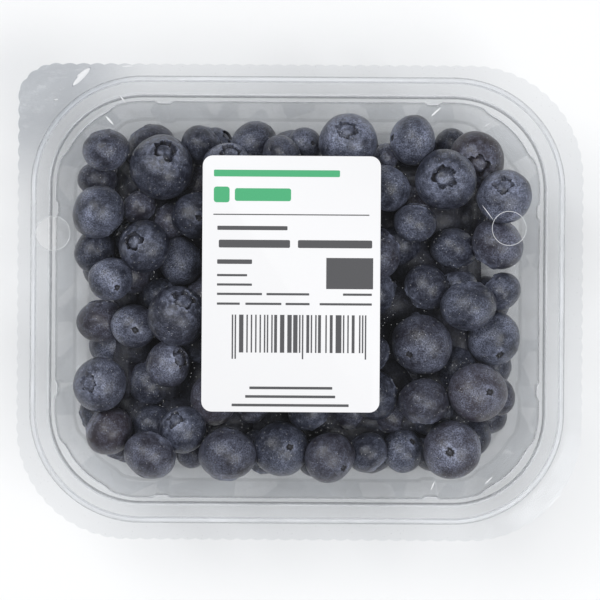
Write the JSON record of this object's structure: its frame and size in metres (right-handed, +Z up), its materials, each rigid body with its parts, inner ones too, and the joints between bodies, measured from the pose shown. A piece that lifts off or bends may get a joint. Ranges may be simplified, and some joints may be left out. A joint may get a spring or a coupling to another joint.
{
  "type": "punnet of blueberries",
  "caption": "Shallow clear plastic tray with round corners, heaped with blueberries, under a sealed clear film that carries a paper label.",
  "frame": {"origin": "on the surface that the tray stands on, under the middle of the film", "axes": "+X along the long side, to the right as the label is read; +Y to the top of the label; +Z up"},
  "size_m": [0.151, 0.127, 0.0388],
  "materials": {
    "tray_plastic": "clear thermoformed plastic, glossy",
    "lidding_film": "clear sealed film with a slight haze",
    "label_paper": "smooth white label paper",
    "berry_skin": "dark blue fruit skin with a pale waxy bloom",
    "print_green": "green print on the label",
    "print_dark": "dark grey print on the label"
  },
  "bodies": {
    "root": {"tray": "tray_plastic", "film": "lidding_film", "label": "label_paper", "berries": "berry_skin"}
  },
  "joints": []
}
